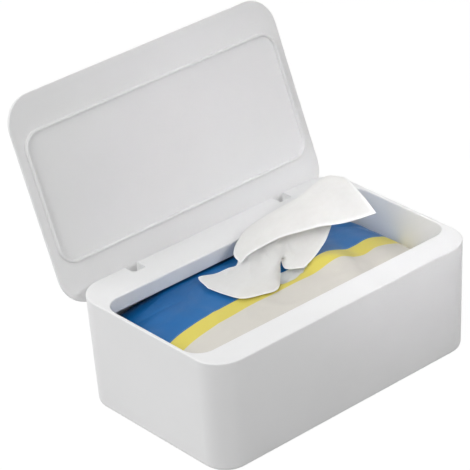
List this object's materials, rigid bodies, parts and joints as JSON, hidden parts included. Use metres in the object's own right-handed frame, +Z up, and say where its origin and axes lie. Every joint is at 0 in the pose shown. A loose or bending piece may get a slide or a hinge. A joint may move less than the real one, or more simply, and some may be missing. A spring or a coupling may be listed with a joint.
{
  "type": "wipes box",
  "caption": "White box with a hinged lid, open, holding a soft film pack of wet wipes with one wipe pulled out through its slot.",
  "frame": {"origin": "under the middle of the tub, on the surface that the box stands on", "axes": "+Z up, +X along the long side, +Y towards the hinge at the back"},
  "size_m": [0.192, 0.1668, 0.1659],
  "materials": {
    "box_plastic": "white moulded polypropylene, satin, with a very fine grain",
    "lid_plastic": "white moulded polypropylene, satin, with a very fine grain",
    "pack_film": "printed laminate film, soft gloss, blue with a yellow stripe and an off-white front",
    "wipe_cloth": "damp white nonwoven, matt, fine random fibres"
  },
  "bodies": {
    "base": {"tub": "box_plastic", "top_frame": "box_plastic", "wipes_pack": "pack_film", "pulled_wipe": "wipe_cloth"},
    "lid": {"lid": "lid_plastic"}
  },
  "joints": [
    {"name": "lid_hinge", "type": "hinge", "parent": "base", "child": "lid", "pos_m": [0, 0.05603, 0.06058], "axis": [1, 0, 0], "range_deg": [0, 111.5], "deforming": ["pulled_wipe"]}
  ]
}
